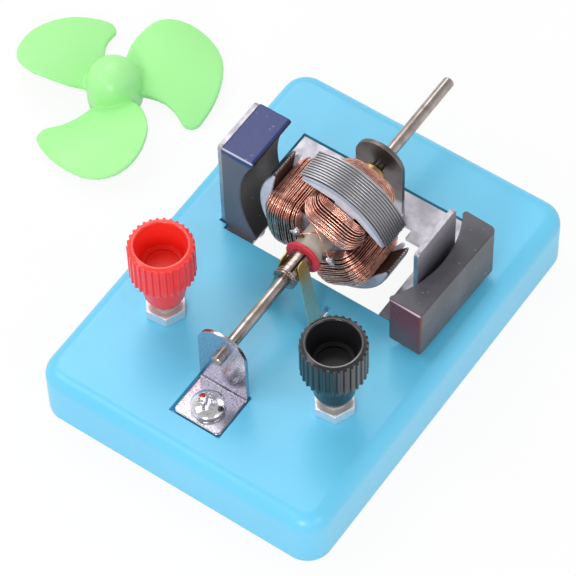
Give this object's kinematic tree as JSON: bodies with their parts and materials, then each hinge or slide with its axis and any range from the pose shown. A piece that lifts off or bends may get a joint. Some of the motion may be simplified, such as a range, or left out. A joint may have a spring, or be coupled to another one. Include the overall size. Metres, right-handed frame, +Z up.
{
  "type": "demonstration electric motor",
  "caption": "Open demonstration motor: wound armature in a bent steel yoke with block magnets, ribbed terminal caps, bracket bearing and a loose push-on fan.",
  "frame": {"origin": "centre of the base's underside, on the bench plane", "axes": "+X to the right seen from the bracket end, +Y along the shaft towards its free end, +Z up"},
  "size_m": [0.1482, 0.1169, 0.0485],
  "materials": {
    "base_plastic": "glossy light sky blue moulding",
    "yoke_steel": "zinc plated bent sheet",
    "bright_steel": "bright nickel plated",
    "ferrite_blue": "dark ferrite with a blue painted top and front end",
    "ferrite_red": "grey ferrite with a dark red painted front end",
    "shaft_steel": "drawn steel rod",
    "lamination_steel": "stacked stampings",
    "end_plate_plastic": "glossy bluish white insulating plate",
    "copper_wire": "enamelled copper winding",
    "commutator_copper": "worn copper segments",
    "drum_plastic": "dark insulating drum",
    "red_fibre": "red fibre washer",
    "sleeve_plastic": "beige insulating sleeve",
    "brass": "turned brass",
    "black_plastic": "glossy black",
    "brush_bronze": "springy phosphor bronze strip",
    "red_plastic": "glossy red",
    "fan_plastic": "satin pale green moulding"
  },
  "bodies": {
    "base": {"base_moulding": "base_plastic", "field_yoke": "yoke_steel", "front_bracket": "bright_steel", "bracket_screw": "bright_steel", "yoke_screw_left": "yoke_steel", "yoke_screw_right": "yoke_steel", "brush_left": "brush_bronze", "brush_right": "brush_bronze", "link_strip_left": "brass", "link_strip_right": "brass", "red_stud": "bright_steel", "red_top_nut": "bright_steel", "red_lock_washer": "bright_steel", "red_lock_nut": "bright_steel", "black_stud": "bright_steel", "black_top_nut": "bright_steel", "black_lock_washer": "bright_steel", "black_lock_nut": "bright_steel"},
    "rotor": {"rotor_shaft": "shaft_steel", "armature_core": "lamination_steel", "end_plate_rear": "end_plate_plastic", "end_plate_front": "end_plate_plastic", "coil_one": "copper_wire", "coil_two": "copper_wire", "coil_three": "copper_wire", "commutator_drum": "drum_plastic", "commutator_segment_one": "commutator_copper", "commutator_segment_two": "commutator_copper", "commutator_segment_three": "commutator_copper", "solder_tag_one": "commutator_copper", "solder_tag_two": "commutator_copper", "solder_tag_three": "commutator_copper", "commutator_collar": "commutator_copper", "commutator_washer": "red_fibre", "front_sleeve": "sleeve_plastic", "rear_sleeve": "sleeve_plastic", "rear_collar": "brass", "thrust_washer": "black_plastic"},
    "magnet_left": {"magnet_left": "ferrite_blue"},
    "magnet_right": {"magnet_right": "ferrite_red"},
    "red_bush": {"red_cap_bush": "brass"},
    "red_cap": {"red_cap": "red_plastic"},
    "black_bush": {"black_cap_bush": "brass"},
    "black_cap": {"black_cap": "black_plastic"},
    "fan": {"fan": "fan_plastic"}
  },
  "joints": [
    {"name": "rotor_spin", "type": "hinge", "parent": "base", "child": "rotor", "pos_m": [0, 0, 0.03], "axis": [0, 1, 0], "continuous": true},
    {"name": "magnet_left_slide", "type": "slide", "parent": "base", "child": "magnet_left", "axis": [0, 1, 0], "range_m": [0, 0.016]},
    {"name": "magnet_right_lift", "type": "slide", "parent": "base", "child": "magnet_right", "axis": [0, 0, 1], "range_m": [-0.003, 0.03]},
    {"name": "red_cap_lift", "type": "slide", "parent": "base", "child": "red_bush", "axis": [0, 0, 1], "range_m": [-0.0005, 0.0048]},
    {"name": "red_cap_turn", "type": "hinge", "parent": "red_bush", "child": "red_cap", "pos_m": [-0.0242, -0.0235, 0.03], "axis": [0, 0, 1], "range_deg": [-260, 2470]},
    {"name": "black_cap_lift", "type": "slide", "parent": "base", "child": "black_bush", "axis": [0, 0, 1], "range_m": [-0.0005, 0.0048]},
    {"name": "black_cap_turn", "type": "hinge", "parent": "black_bush", "child": "black_cap", "pos_m": [0.0242, -0.0235, 0.03], "axis": [0, 0, 1], "range_deg": [-260, 2470]},
    {"name": "fan_lift", "type": "slide", "parent": "base", "child": "fan", "axis": [0, 0, 1], "range_m": [0, 0.05]}
  ],
  "couplings": [
    {"joint": "red_cap_turn", "follows": "red_cap_lift", "rad_per_m": 8976},
    {"joint": "black_cap_turn", "follows": "black_cap_lift", "rad_per_m": 8976}
  ]
}
